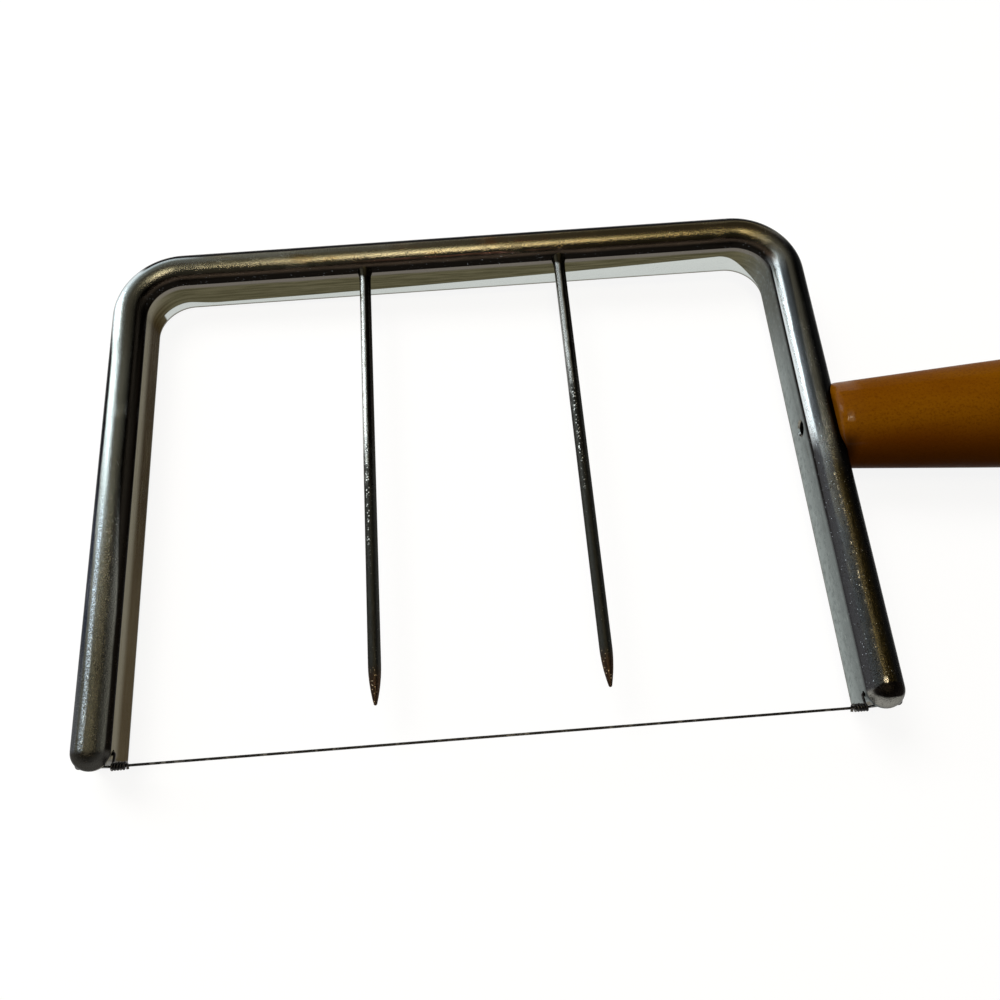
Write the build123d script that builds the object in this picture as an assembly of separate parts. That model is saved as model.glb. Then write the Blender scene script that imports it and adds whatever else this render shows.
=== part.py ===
from build123d import *
import math
import os

# Wire cheese slicer, in millimetres. X runs along the cutting wire towards the handle, Y from the
# wire up to the top bar, and Z from the flat back of the frame to its rounded front. The origin
# lies on the flat outer side of the top bar, midway along it and halfway through its depth.

# Frame: a D-shaped bar bent into a bow, with a half-round front and a flat back
bar_width = 6.0
bar_depth = 10.8
back_edge_radius = 0.7
frame_width = 129.0             # over the outer sides of the two legs
bend_radius = 9.6               # of the bar's centre line at the two corners
wire_drop = 93.7                # from the outer side of the top bar down to the wire

# Leg ends: a round nose at the front, and a heel behind it that stops short
nose_past_wire = 0.5            # from the wire's axis down to the tip of the nose
heel_setback = 1.8              # from the tip of the nose up to the end of the heel
heel_edge_radius = 0.5

# Cutting wire: from the straight span it passes under each heel, up the outer side of the leg,
# back through a cross hole, and is tied off by turns wound round the straight span
wire_diameter = 0.42
wire_depth = 3.2                # from the frame's front down to the wire's axis
wire_bend_radius = 0.45
wire_hole_diameter = 0.9
wire_hole_rise = 2.2            # of the cross hole above the wire's axis
wire_leg_gap = 0.24             # between the loop and the sides of a leg
loop_rise = 0.5                 # of the loop under a heel above the wire's axis
loop_depth = 6.0                # of the loop under a heel, from the frame's front
wrap_turns = 3
wrap_gap = 0.46                 # between the turns and the span inside them
wrap_spacing = 0.48             # between one turn and the next, along the span

# Tines: two pins let into the inner side of the top bar
tine_diameter = 2.1
tine_spacing = 36.8
tine_shift = 0.6                # of the pair towards the handle
tine_reach = 81.6               # from the top bar's inner side to the tips
tine_point_length = 6.5
tine_tip_radius = 0.3
tine_seat_depth = 3.2
tine_clearance = 0.02

# Handle: a turned and polished piece of cast resin, let onto the outer side of the right leg
handle_rise = 49.6              # of its axis above the wire
handle_neck_diameter = 15.0
handle_taper = 0.065            # growth of its radius with its length, at the neck
handle_belly_diameter = 23.0
handle_belly_length = 80.0      # from the neck to the thickest place
handle_end_length = 22.0        # from the thickest place to the tip of the end
handle_end_fullness = 0.7       # 0.55 gives half an ellipsoid, and 1 nearly a flat end
handle_edge_radius = 1.4
saddle_depth = 1.4              # by which the handle grips over the leg
saddle_clearance = 0.05

# Stud: joins the leg and the handle, and can't be seen except in the hole of the leg
stud_diameter = 2.3
stud_clearance = 0.05
stud_recess = 2.6               # of its end below the leg's inner side
stud_handle_depth = 28.0
stud_end_chamfer = 0.3
stud_hole_chamfer = 0.35
stud_hole_end_gap = 0.5

# Places that follow from the sizes above
nose_radius = bar_width / 2
front_z = bar_depth / 2
back_z = -bar_depth / 2
front_axis_z = front_z - nose_radius
leg_x = (frame_width - bar_width) / 2
leg_inner_x = leg_x - bar_width / 2
leg_outer_x = leg_x + bar_width / 2
bar_middle_y = -bar_width / 2
bar_inner_y = -bar_width
wire_y = -wire_drop
wire_z = front_z - wire_depth
nose_tip_y = wire_y - nose_past_wire
nose_centre_y = nose_tip_y + nose_radius
heel_end_y = nose_tip_y + heel_setback
wire_hole_y = wire_y + wire_hole_rise
wire_hole_z = wire_z - wire_diameter - wrap_gap
handle_y = wire_y + handle_rise
handle_z = 0
handle_start_x = leg_outer_x - saddle_depth
tine_xs = [tine_shift - tine_spacing / 2, tine_shift + tine_spacing / 2]


def bar_section():
    """The D-shaped section of the bar: local X across it, local Y from the back to the front."""
    flat = Pos(0, (back_z + front_axis_z) / 2) * Rectangle(bar_width, front_axis_z - back_z)
    section = flat + Pos(0, front_axis_z) * Circle(nose_radius)
    back_corners = section.vertices().sort_by(Axis.Y)[:2]
    return fillet(back_corners, back_edge_radius)


def leg_plane(x, y):
    """The plane across a leg at a height y, with its local Y towards the front."""
    return Plane(origin=(x, y, 0), x_dir=(-1, 0, 0), z_dir=(0, 1, 0))


def cross_pin(diameter, x_from, x_to, y, z):
    """A round bar along X, used for the holes across a leg and for the stud."""
    return Pos((x_from + x_to) / 2, y, z) * Rot(0, 90, 0) * Cylinder(diameter / 2, x_to - x_from)


def leg_end(x):
    """What lies below a leg's swept bar: the round nose, and the heel behind it."""
    heel_section = bar_section() - Pos(0, front_axis_z + bar_width / 2) * Rectangle(bar_width, bar_width)
    heel = extrude(leg_plane(x, nose_centre_y) * heel_section, heel_end_y - nose_centre_y)
    end_face = heel.faces().sort_by(Axis.Y)[0]
    side_edges = end_face.edges().sort_by(Axis.Z)[:-1]
    nose = Pos(x, nose_centre_y, front_axis_z) * Sphere(nose_radius)
    return fillet(side_edges, heel_edge_radius) + nose


def make_frame():
    """The bow: the bar swept round its two corners, its leg ends, and the holes in it."""
    line = FilletPolyline(
        (-leg_x, nose_centre_y),
        (-leg_x, bar_middle_y),
        (leg_x, bar_middle_y),
        (leg_x, nose_centre_y),
        radius=bend_radius,
    )
    bow = sweep(leg_plane(-leg_x, nose_centre_y) * bar_section(), path=line)
    for x in (-leg_x, leg_x):
        bow += leg_end(x)
        bow -= cross_pin(wire_hole_diameter, x - bar_width, x + bar_width, wire_hole_y, wire_hole_z)
    for x in tine_xs:
        seat = Cylinder(tine_diameter / 2 + tine_clearance, 2 * tine_seat_depth)
        bow -= Pos(x, bar_inner_y, front_axis_z) * Rot(90, 0, 0) * seat
    hole_radius = stud_diameter / 2 + stud_clearance
    bow -= cross_pin(2 * hole_radius, leg_x - bar_width, leg_x + bar_width, handle_y, handle_z)
    mouth = Cone(hole_radius + stud_hole_chamfer, hole_radius, stud_hole_chamfer)
    bow -= Pos(leg_inner_x + stud_hole_chamfer / 2, handle_y, handle_z) * Rot(0, 90, 0) * mouth
    return bow


def make_tine(x):
    """A round pin with an ogive point, seated in the top bar and pointing at the wire."""
    radius = tine_diameter / 2
    top = bar_inner_y + tine_seat_depth
    tip = bar_inner_y - tine_reach
    shoulder = tip + tine_point_length
    centre_line = Line((0, tip), (0, top))
    end = Line((0, top), (radius, top))
    shank = Line((radius, top), (radius, shoulder))
    ogive = TangentArc((radius, shoulder), (tine_tip_radius, tip + tine_tip_radius), tangent=(0, -1))
    blunt = CenterArc((0, tip + tine_tip_radius), tine_tip_radius, -90, 90)
    profile = make_face([centre_line, end, shank, ogive, blunt])
    return Pos(x, 0, front_axis_z) * revolve(profile, Axis.Y)


def biarc(start, start_way, end, end_way):
    """Two arcs in space, one running smoothly into the other, between two places and directions."""
    chord = end - start
    ways = start_way + end_way
    spread = 4 - ways.dot(ways)
    along = chord.dot(ways)
    reach = (math.sqrt(along**2 + spread * chord.dot(chord)) - along) / spread
    middle = start + chord / 2 + (start_way - end_way) * (reach / 2)
    middle_way = (chord - ways * reach).normalized()
    return [TangentArc(start, middle, tangent=start_way), TangentArc(middle, end, tangent=middle_way)]


def wound_turns(start_x):
    """The tail wound round the straight span, from behind it and away from the leg: two arcs to
    each quarter turn, and at the end a straight tip one wire diameter long."""
    radius = wire_diameter + wrap_gap
    pitch = wire_diameter + wrap_spacing
    arcs = []
    place = Vector(start_x, wire_y, wire_z - radius)
    way = Vector(0, -1, 0)
    for quarter in range(1, 4 * wrap_turns + 1):
        turn = math.radians(90 * quarter)
        next_x = start_x - pitch * quarter / 4
        next_place = Vector(next_x, wire_y - radius * math.sin(turn), wire_z - radius * math.cos(turn))
        next_way = Vector(-pitch / math.tau, -radius * math.cos(turn), radius * math.sin(turn)).normalized()
        arcs += biarc(place, way, next_place, next_way)
        place = next_place
        way = next_way
    return arcs + [Line(place, place + way * wire_diameter)]


def half_wire_line():
    """The wire's centre line from mid-span to the end of the tail at the right leg."""
    stand_off = wire_diameter / 2 + wire_leg_gap
    inner_x = leg_inner_x - stand_off
    outer_x = leg_outer_x + stand_off
    under_y = wire_y + loop_rise
    under_z = front_z - loop_depth
    loop = FilletPolyline(
        (0, wire_y, wire_z),
        (leg_inner_x, wire_y, wire_z),
        (leg_x - stand_off, under_y, under_z),
        (outer_x, under_y, under_z),
        (outer_x, wire_hole_y, wire_hole_z),
        (inner_x, wire_hole_y, wire_hole_z),
        (inner_x, wire_y, wire_hole_z),
        radius=wire_bend_radius,
    )
    return Wire(loop.edges() + wound_turns(inner_x))


def least_gap(line, step, apart):
    """The least gap of a wound wire to itself, on points a step apart along its centre line; points
    less than the length apart from each other along it are neighbours, and don't count."""
    count = round(line.length / step)
    points = [tuple(line @ (k / count)) for k in range(count + 1)]
    skip = round(apart / step)
    pairs = (
        math.dist(points[k], other)
        for k in range(count + 1)
        for other in points[k + skip:]
        if other[0] > leg_inner_x - bar_width
    )
    return min(pairs) - wire_diameter


def make_wire():
    """One unbroken wire: a straight span, and at each leg a loop through the cross hole and a tie."""
    line = half_wire_line()
    section = Plane(origin=line @ 0, z_dir=line % 0) * Circle(wire_diameter / 2)
    half = sweep(section, path=line)
    print("half the wire: volume", round(half.volume, 3))
    print("its section times its length:", round(section.area * line.length, 3))
    print("its least gap to itself:", round(least_gap(line, 0.1, 4 * wire_diameter), 3))
    return half + mirror(half, about=Plane.YZ)


def make_handle():
    """The handle, turned about its axis, with the saddle for the leg and the hole for the stud."""
    neck = handle_neck_diameter / 2
    belly = handle_belly_diameter / 2
    third = handle_belly_length / 3
    tip = handle_belly_length + handle_end_length
    shoulder = handle_belly_length + handle_end_fullness * handle_end_length
    thickest = (handle_belly_length, belly)
    swell = Bezier((0, neck), (third, neck + handle_taper * third), (2 * third, belly), thickest)
    end = Bezier(thickest, (shoulder, belly), (tip, handle_end_fullness * belly), (tip, 0))
    closing = Polyline((tip, 0), (0, 0), (0, neck))
    turned = revolve(make_face([swell, end, closing]), Axis.X)
    neck_rim = turned.edges().filter_by(GeomType.CIRCLE).sort_by(Axis.X)[0]
    turned = fillet(neck_rim, handle_edge_radius)
    turned = Pos(handle_start_x, handle_y, handle_z) * turned
    saddle = offset(bar_section(), saddle_clearance)
    turned -= extrude(leg_plane(leg_x, handle_y) * saddle, handle_neck_diameter, both=True)
    hole_end = handle_start_x + stud_handle_depth + stud_hole_end_gap
    return turned - cross_pin(stud_diameter + 2 * stud_clearance, leg_inner_x, hole_end, handle_y, handle_z)


def make_stud():
    """The plain stud in the holes of the leg and the handle."""
    stud = cross_pin(
        stud_diameter,
        leg_inner_x + stud_recess,
        handle_start_x + stud_handle_depth,
        handle_y,
        handle_z,
    )
    return chamfer(stud.edges().filter_by(GeomType.CIRCLE), stud_end_chamfer)


pieces = {
    "frame": make_frame(),
    "tine_left": make_tine(tine_xs[0]),
    "tine_right": make_tine(tine_xs[1]),
    "cutting_wire": make_wire(),
    "handle": make_handle(),
    "handle_stud": make_stud(),
}

os.makedirs("parts", exist_ok=True)
for name, piece in pieces.items():
    export_step(piece, f"parts/{name}.step")
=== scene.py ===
import math

import bpy
import numpy as np
from mathutils import Euler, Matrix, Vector


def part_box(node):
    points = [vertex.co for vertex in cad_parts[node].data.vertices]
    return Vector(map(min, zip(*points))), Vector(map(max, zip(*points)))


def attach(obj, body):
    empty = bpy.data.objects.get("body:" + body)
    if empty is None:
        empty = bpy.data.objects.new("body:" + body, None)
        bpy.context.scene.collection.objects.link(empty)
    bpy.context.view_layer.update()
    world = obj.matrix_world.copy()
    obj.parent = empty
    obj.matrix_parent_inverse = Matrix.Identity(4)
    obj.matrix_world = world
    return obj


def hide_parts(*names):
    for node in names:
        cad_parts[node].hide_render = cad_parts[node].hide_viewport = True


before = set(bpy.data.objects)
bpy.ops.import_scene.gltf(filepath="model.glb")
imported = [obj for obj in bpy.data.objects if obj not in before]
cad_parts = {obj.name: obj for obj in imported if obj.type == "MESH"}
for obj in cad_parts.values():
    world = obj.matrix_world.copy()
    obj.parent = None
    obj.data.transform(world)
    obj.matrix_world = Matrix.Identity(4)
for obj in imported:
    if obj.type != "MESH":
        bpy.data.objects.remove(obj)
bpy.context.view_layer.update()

# Meshes are in metres, and MM turns millimetres into them. Materials work in millimetres.
MM = 0.001

# Sizes of the frame's bar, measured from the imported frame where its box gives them
bar_low, bar_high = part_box("frame")
BAR_WIDTH = 6.0 * MM
BACK_EDGE_RADIUS = 0.7 * MM
BEND_RADIUS = 9.6 * MM
FRONT_Z = bar_high.z
BACK_Z = bar_low.z
NOSE_RADIUS = BAR_WIDTH / 2
FRONT_AXIS_Z = FRONT_Z - NOSE_RADIUS
LEG_X = bar_high.x - BAR_WIDTH / 2
LEG_INNER_X = LEG_X - BAR_WIDTH / 2
LEG_OUTER_X = LEG_X + BAR_WIDTH / 2
BAR_MIDDLE_Y = bar_high.y - BAR_WIDTH / 2
BAR_INNER_Y = bar_high.y - BAR_WIDTH
NOSE_TIP_Y = bar_low.y
NOSE_CENTRE_Y = NOSE_TIP_Y + NOSE_RADIUS
HEEL_SHORT_OF_TIP = 1.8 * MM
HEEL_LENGTH = NOSE_RADIUS - HEEL_SHORT_OF_TIP
HEEL_EDGE_RADIUS = 0.5 * MM

# Edges that are bent by more degrees than this stay sharp
SHARP_ANGLE = 40

# How many stations the bar's centre line has down a leg, round a corner and along half the top
LEG_STATIONS = 60
CORNER_STATIONS = 33
TOP_STATIONS = 40

# The wire and its tie
WIRE_RADIUS = 0.21 * MM
WIRE_Y = NOSE_TIP_Y + 0.5 * MM
WIRE_Z = FRONT_Z - 3.2 * MM
WIRE_HOLE_Y = WIRE_Y + 2.2 * MM
WIRE_HOLE_Z = WIRE_Z - 0.88 * MM
WIRE_HOLE_RADIUS = 0.45 * MM
WIRE_STAND_OFF = 0.24 * MM
WIRE_BEND_RADIUS = 0.4 * MM
WIRE_UNDER_Y = WIRE_Y + 0.5 * MM
WIRE_UNDER_Z = FRONT_Z - 6.0 * MM
WIRE_TAIL = 0.5 * MM
TIE_TURNS = 5
TIE_STEPS_PER_TURN = 28
TIE_PITCH = 0.45 * MM
TIE_RADIUS = 0.46 * MM
TIE_WANDER = 0.05

# The pins, from their nodes' boxes
PIN_RADIUS = 1.05 * MM
PIN_POINT_LENGTH = 6.5 * MM
PIN_TIP_RADIUS = 0.3 * MM
PIN_BURIED = 0.5 * MM
BRAZE_FILLET = 0.45 * MM
PIN_XS = [(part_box(node)[0].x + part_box(node)[1].x) / 2 for node in ("tine_left", "tine_right")]

# The handle and the hole for its stud
handle_low, handle_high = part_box("handle")
HANDLE_Y = (handle_low.y + handle_high.y) / 2
HANDLE_Z = (handle_low.z + handle_high.z) / 2
HANDLE_START_X = handle_low.x
HANDLE_NECK = 7.5 * MM
HANDLE_TAPER = 0.065
HANDLE_BELLY = (handle_high.y - handle_low.y) / 2
HANDLE_BELLY_LENGTH = 80 * MM
HANDLE_END_LENGTH = handle_high.x - handle_low.x - HANDLE_BELLY_LENGTH
HANDLE_END_FULLNESS = 0.7
HANDLE_RIM_RADIUS = 1.4 * MM
SADDLE_CLEARANCE = 0.05 * MM
STUD_HOLE_RADIUS = 1.2 * MM
STUD_HOLE_CHAMFER = 0.35 * MM

# The floor: how far it lies below the lowest places over it, and half its width
FLOOR_GAP = 0.25 * MM
FLOOR_HALF = 3.0

# The camera, fitted to the frame's outlines: its sensor in millimetres, and its turn in degrees
SENSOR_WIDTH = 36
FOCAL_SHARE = 0.932
CAMERA_PLACE = (0.989 * MM, -115.464 * MM, 148.438 * MM)
CAMERA_TURN = (22.652, 0.575, -4.354)

# Places round the bar's outline, in millimetres from the middle of its back by the outer side
FRONT_FROM = (BAR_WIDTH / 2 - BACK_EDGE_RADIUS * (2 - math.pi / 2) + FRONT_AXIS_Z - BACK_Z) / MM
FRONT_TO = FRONT_FROM + math.pi * NOSE_RADIUS / MM
FLANK_TO = FRONT_TO + (FRONT_AXIS_Z - BACK_Z - BACK_EDGE_RADIUS) / MM

# How far inwards the left leg's light streak moves down its length, in millimetres
LEAN_SHIFT = 0.3


class Socket:
    """One output of a shader node, on which Python's operators add Math nodes."""

    def __init__(self, paint, output):
        self.paint = paint
        self.output = output

    def __add__(self, other):
        return self.paint.math("ADD", self, other)

    def __sub__(self, other):
        return self.paint.math("SUBTRACT", self, other)

    def __rsub__(self, other):
        return self.paint.math("SUBTRACT", other, self)

    def __mul__(self, other):
        return self.paint.math("MULTIPLY", self, other)

    def __truediv__(self, other):
        return self.paint.math("DIVIDE", self, other)

    __radd__ = __add__
    __rmul__ = __mul__


class Paint:
    """The node tree of one material or of the world."""

    def __init__(self, tree):
        self.tree = tree
        tree.nodes.clear()

    def node(self, kind, settings=None, inputs=None, output=0):
        """Adds a node: its settings first, then the values or links of its inputs."""
        made = self.tree.nodes.new(kind)
        for name, value in (settings or {}).items():
            setattr(made, name, value)
        for name, value in (inputs or {}).items():
            if isinstance(value, Socket):
                self.tree.links.new(value.output, made.inputs[name])
            else:
                made.inputs[name].default_value = value
        return Socket(self, made.outputs[output]) if made.outputs else made

    def math(self, operation, *values):
        """A number worked out from others by one Math node."""
        return self.node("ShaderNodeMath", {"operation": operation}, dict(enumerate(values)))

    def largest(self, a, b):
        """The larger of two numbers."""
        return self.math("MAXIMUM", a, b)

    def step(self, value, low, high):
        """Rises smoothly from 0 at low to 1 at high, or falls where low is above high."""
        if low > high:
            return 1 - self.step(value, high, low)
        inputs = {0: value, 1: low, 2: high}
        return self.node("ShaderNodeMapRange", {"interpolation_type": "SMOOTHSTEP"}, inputs)

    def band(self, value, low, full_from, full_to, high):
        """Rises smoothly from 0 at low to 1, stays there from full_from to full_to, and falls to 0
        again at high."""
        return self.step(value, low, full_from) * self.step(value, high, full_to)

    def mix(self, a, b, share):
        """A colour between two colours."""
        inputs = {0: share, 6: a, 7: b}
        return self.node("ShaderNodeMix", {"data_type": "RGBA"}, inputs, output=2)

    def scaled(self, vector, scale):
        """A vector with each of its parts multiplied by a number."""
        return self.node("ShaderNodeVectorMath", {"operation": "MULTIPLY"}, {0: vector, 1: scale})

    def place(self, scale=(1, 1, 1)):
        """Where a point of the piece lies, in millimetres, each axis then stretched by its scale."""
        here = self.node("ShaderNodeTexCoord", output=3)
        return self.scaled(here, [s / MM for s in scale])

    def surface(self, scale=(1, 1)):
        """The way along the piece and the way round it, in millimetres, from its own UV map."""
        here = self.node("ShaderNodeUVMap", {"uv_map": "Surface"})
        return self.scaled(here, [scale[0] / MM, scale[1] / MM, 0])

    def parts(self, vector):
        """The X, Y and Z of a vector."""
        split = self.node("ShaderNodeSeparateXYZ", inputs={0: vector})
        return [Socket(self, o) for o in split.output.node.outputs]

    def noise(self, place, size, detail=2.0, roughness=0.5, distortion=0.0):
        """Cloudy noise from 0 to 1, its lumps about one size across."""
        inputs = {"Vector": place, "Scale": 1 / size, "Detail": detail}
        inputs.update({"Roughness": roughness, "Distortion": distortion})
        return self.node("ShaderNodeTexNoise", inputs=inputs)

    def specks(self, place, size, radius):
        """Round specks: 1 inside the radius of a scattered point, and 0 away from it."""
        far = self.node("ShaderNodeTexVoronoi", inputs={"Vector": place, "Scale": 1 / size})
        return self.step(far, radius / size, 0.4 * radius / size)

    def bump(self, height, depth, strength=1.0, normal=None):
        """A normal tilted by a height from 0 to 1 that stands for a depth in metres."""
        inputs = {"Strength": strength, "Distance": depth, "Height": height}
        if normal:
            inputs["Normal"] = normal
        return self.node("ShaderNodeBump", inputs=inputs)

    def shown(self):
        """1 for the camera's rays and for those that mirrors and glass send on, 0 for other rays."""
        rays = self.node("ShaderNodeLightPath").output.node.outputs
        camera = Socket(self, rays["Is Camera Ray"])
        mirrored = Socket(self, rays["Is Glossy Ray"])
        through = Socket(self, rays["Is Transmission Ray"])
        return self.largest(self.largest(camera, mirrored), through)

    def principled(self, **inputs):
        """The surface, with its inputs by name."""
        named = {name.replace("_", " "): value for name, value in inputs.items()}
        shader = self.node("ShaderNodeBsdfPrincipled", inputs=named)
        self.node("ShaderNodeOutputMaterial", inputs={"Surface": shader})


def new_material(name):
    """An empty material and the paint for its nodes."""
    material = bpy.data.materials.new(name)
    material.use_nodes = True
    return material, Paint(material.node_tree)


def closed_surface(name, rows, sharp=SHARP_ANGLE):
    """A closed mesh from a grid of points. Each row goes once round the piece, and the first and the
    last row are closed by a fan of triangles to their middle. The UV map holds the way along the
    piece and the way round it, in metres. Edges bent by more than sharp degrees stay sharp."""
    count, around = rows.shape[:2]
    poles = rows[[0, -1]].mean(axis=1)
    points = np.concatenate([rows.reshape(-1, 3), poles])
    row, column = np.meshgrid(np.arange(count - 1), np.arange(around), indexing="ij")
    after = (column + 1) % around
    quads = np.stack([row * around + column, row * around + after], axis=-1)
    quads = np.concatenate([quads, quads[..., ::-1] + around], axis=-1).reshape(-1, 4)
    here = np.arange(around)
    beside = (here + 1) % around
    first_pole = np.full(around, count * around)
    last_row = (count - 1) * around
    first_fan = np.stack([beside, here, first_pole], axis=-1)
    last_fan = np.stack([last_row + here, last_row + beside, first_pole + 1], axis=-1)

    ring = np.concatenate([rows, rows[:, :1]], axis=1)
    along = np.linalg.norm(np.diff(ring, axis=0), axis=2).mean(axis=1)
    along = np.concatenate([[0], np.cumsum(along)])
    widest = np.linalg.norm(np.diff(ring, axis=1), axis=2).max(axis=0)
    round_it = np.concatenate([[0], np.cumsum(widest)])
    columns = np.stack([column, column + 1, column + 1, column], axis=-1)
    lines = np.stack([row, row, row + 1, row + 1], axis=-1)
    quad_uv = np.stack([along[lines], round_it[columns]], axis=-1).reshape(-1, 2)
    first_columns = np.stack([here + 1, here, here], axis=-1)
    first_uv = np.stack([np.full(3 * around, along[0]), round_it[first_columns].ravel()], axis=-1)
    last_columns = np.stack([here, here + 1, here], axis=-1)
    last_uv = np.stack([np.full(3 * around, along[-1]), round_it[last_columns].ravel()], axis=-1)

    mesh = bpy.data.meshes.new(name)
    mesh.from_pydata(points.tolist(), [], quads.tolist() + first_fan.tolist() + last_fan.tolist())
    uv = mesh.uv_layers.new(name="Surface")
    uv.data.foreach_set("uv", np.concatenate([quad_uv, first_uv, last_uv]).ravel())
    if enclosed_volume(points, quads) < 0:
        mesh.flip_normals()
    smooth(mesh, sharp)
    piece = bpy.data.objects.new(name, mesh)
    bpy.context.scene.collection.objects.link(piece)
    return piece


def enclosed_volume(points, quads):
    """The signed volume inside a grid, as a sum of one tetrahedron for each half of a quad. Only its
    sign is used, so the small fans at its ends are left out."""
    a, b, c, d = (points[quads[:, k]] for k in range(4))
    halves = np.cross(a, b) * c + np.cross(a, c) * d
    return halves.sum() / 6


def smooth(mesh, sharp):
    """Smooth shading, but for the edges bent by more than sharp degrees."""
    mesh.polygons.foreach_set("use_smooth", np.ones(len(mesh.polygons), bool))
    mesh.set_sharp_from_angle(angle=math.radians(sharp))


def cut(piece, cutters):
    """Takes the cutters out of a piece, and leaves its final mesh."""
    for cutter in cutters:
        boolean = piece.modifiers.new("cut", "BOOLEAN")
        boolean.operation = "DIFFERENCE"
        boolean.solver = "EXACT"
        boolean.object = cutter
    bpy.context.view_layer.update()
    evaluated = piece.evaluated_get(bpy.context.evaluated_depsgraph_get())
    mesh = bpy.data.meshes.new_from_object(evaluated)
    piece.modifiers.clear()
    piece.data = mesh
    smooth(mesh, SHARP_ANGLE)
    for cutter in cutters:
        bpy.data.objects.remove(cutter)


def turned(name, profile, start, axis, around):
    """A turned piece: a profile of (way along the axis, radius) carried once round an axis, with as
    many points round it as around says. The axis is a unit vector square to Z, and the other two
    directions are worked out from it."""
    axis = np.array(axis, float)
    side = np.cross(axis, (0, 0, 1))
    up = np.cross(axis, side)
    angle = np.linspace(0, math.tau, around, endpoint=False)
    ring = np.cos(angle)[:, None] * side + np.sin(angle)[:, None] * up
    along = np.asarray(profile)[:, 0]
    radius = np.asarray(profile)[:, 1]
    rows = np.array(start) + along[:, None, None] * axis + radius[:, None, None] * ring
    return closed_surface(name, rows)


def arc(centre, radius, start, end, count):
    """Points of an arc in a plane, from one angle to another, in degrees."""
    angle = np.radians(np.linspace(start, end, count))
    return np.stack([centre[0] + radius * np.cos(angle), centre[1] + radius * np.sin(angle)], axis=-1)


def bar_outline(grow=0.0):
    """The bar's D-shaped outline as (across, Z): a half circle in front, two flat sides, and a flat
    back with rounded corners. It starts at the middle of the back, and goes round by the outer side."""
    half = BAR_WIDTH / 2 + grow
    front = NOSE_RADIUS + grow
    edge = BACK_EDGE_RADIUS + grow
    back = BACK_Z - grow
    corner_z = back + edge
    across_back = np.linspace(0, half - edge, 5)[:-1]
    up_side = np.linspace(corner_z, FRONT_AXIS_Z, 14)[1:-1]
    right_back = np.stack([across_back, np.full_like(across_back, back)], axis=-1)
    right_corner = arc((half - edge, corner_z), edge, -90, 0, 9)
    right_side = np.stack([np.full_like(up_side, half), up_side], axis=-1)
    right = np.concatenate([right_back, right_corner, right_side])
    front_arc = arc((0, FRONT_AXIS_Z), front, 0, 180, 65)
    left = right[:0:-1] * (-1, 1)
    return np.concatenate([right, front_arc, left])


def bow_stations():
    """The bar's centre line from the left nose over the top to the right nose: for each station its
    place (X, Y) and the direction (X, Y) that points out of the bow."""
    corner_y = BAR_MIDDLE_Y - BEND_RADIUS
    leg_y = np.linspace(NOSE_CENTRE_Y, corner_y, LEG_STATIONS)
    leg = np.stack([np.full_like(leg_y, -LEG_X), leg_y], axis=-1)
    corner = arc((-LEG_X + BEND_RADIUS, corner_y), BEND_RADIUS, 180, 90, CORNER_STATIONS)
    top_x = np.linspace(-LEG_X + BEND_RADIUS, 0, TOP_STATIONS)
    top = np.stack([top_x, np.full_like(top_x, BAR_MIDDLE_Y)], axis=-1)
    half = np.concatenate([leg, corner[1:], top[1:]])
    corner_turn = np.linspace(180, 90, CORNER_STATIONS)[1:]
    turn = np.concatenate([np.full(LEG_STATIONS, 180.0), corner_turn, np.full(TOP_STATIONS - 1, 90.0)])
    out = np.stack([np.cos(np.radians(turn)), np.sin(np.radians(turn))], axis=-1)
    places = np.concatenate([half, half[-2::-1] * (-1, 1)])
    return places, np.concatenate([out, out[-2::-1] * (-1, 1)])


def leg_end_rows(outline, steps):
    """The end of a leg below its nose's centre, as rows of (across, Z, way down). Each column is the
    line from a point of the outline to the nose's axis, over a surface whose depth is the smooth
    larger of two: a half ball in front, and behind it a flat heel with rounded edges. The rows share
    out that line's length evenly."""
    heel_rise = 1.2 * MM
    blend = 0.15 * MM
    axis = np.array([0, FRONT_AXIS_Z])
    heel_length = HEEL_LENGTH * np.clip((FRONT_AXIS_Z - outline[:, 1]) / heel_rise, 0, 1)
    inward = np.linspace(1, 0, 160) ** 1.5
    spots = axis + inward[:, None, None] * (outline - axis)
    across, z = spots[..., 0], spots[..., 1]
    ball = np.sqrt(np.clip(NOSE_RADIUS**2 - across**2 - (z - FRONT_AXIS_Z) ** 2, 0, None))
    from_edge = np.minimum(BAR_WIDTH / 2 - np.abs(across), z - BACK_Z)
    rounding = HEEL_EDGE_RADIUS - np.clip(from_edge, 0, HEEL_EDGE_RADIUS)
    worn = HEEL_EDGE_RADIUS - np.sqrt(HEEL_EDGE_RADIUS**2 - rounding**2)
    heel = np.clip(heel_length * np.ones_like(z) - worn, 0, None)
    gap = np.clip(1 - np.abs(ball - heel) / blend, 0, None)
    down = np.maximum(ball, heel) + gap**2 * blend / 4 * inward[:, None] ** 0.2
    down = np.concatenate([np.zeros((1, len(outline))), down])
    spots = np.concatenate([outline[None], spots])
    lines = np.concatenate([spots, down[..., None]], axis=-1)
    length = np.linalg.norm(np.diff(lines, axis=0), axis=2)
    length = np.concatenate([np.zeros((1, len(outline))), np.cumsum(length, axis=0)])
    share = length / length[-1]
    wanted = np.linspace(0, 1, steps + 1)[1:-1, None]
    before = (share[:, None] <= wanted).sum(axis=0) - 1
    column = np.arange(len(outline))
    start, end = share[before, column], share[before + 1, column]
    between = ((wanted - start) / (end - start))[..., None]
    return lines[before, column] * (1 - between) + lines[before + 1, column] * between


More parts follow.
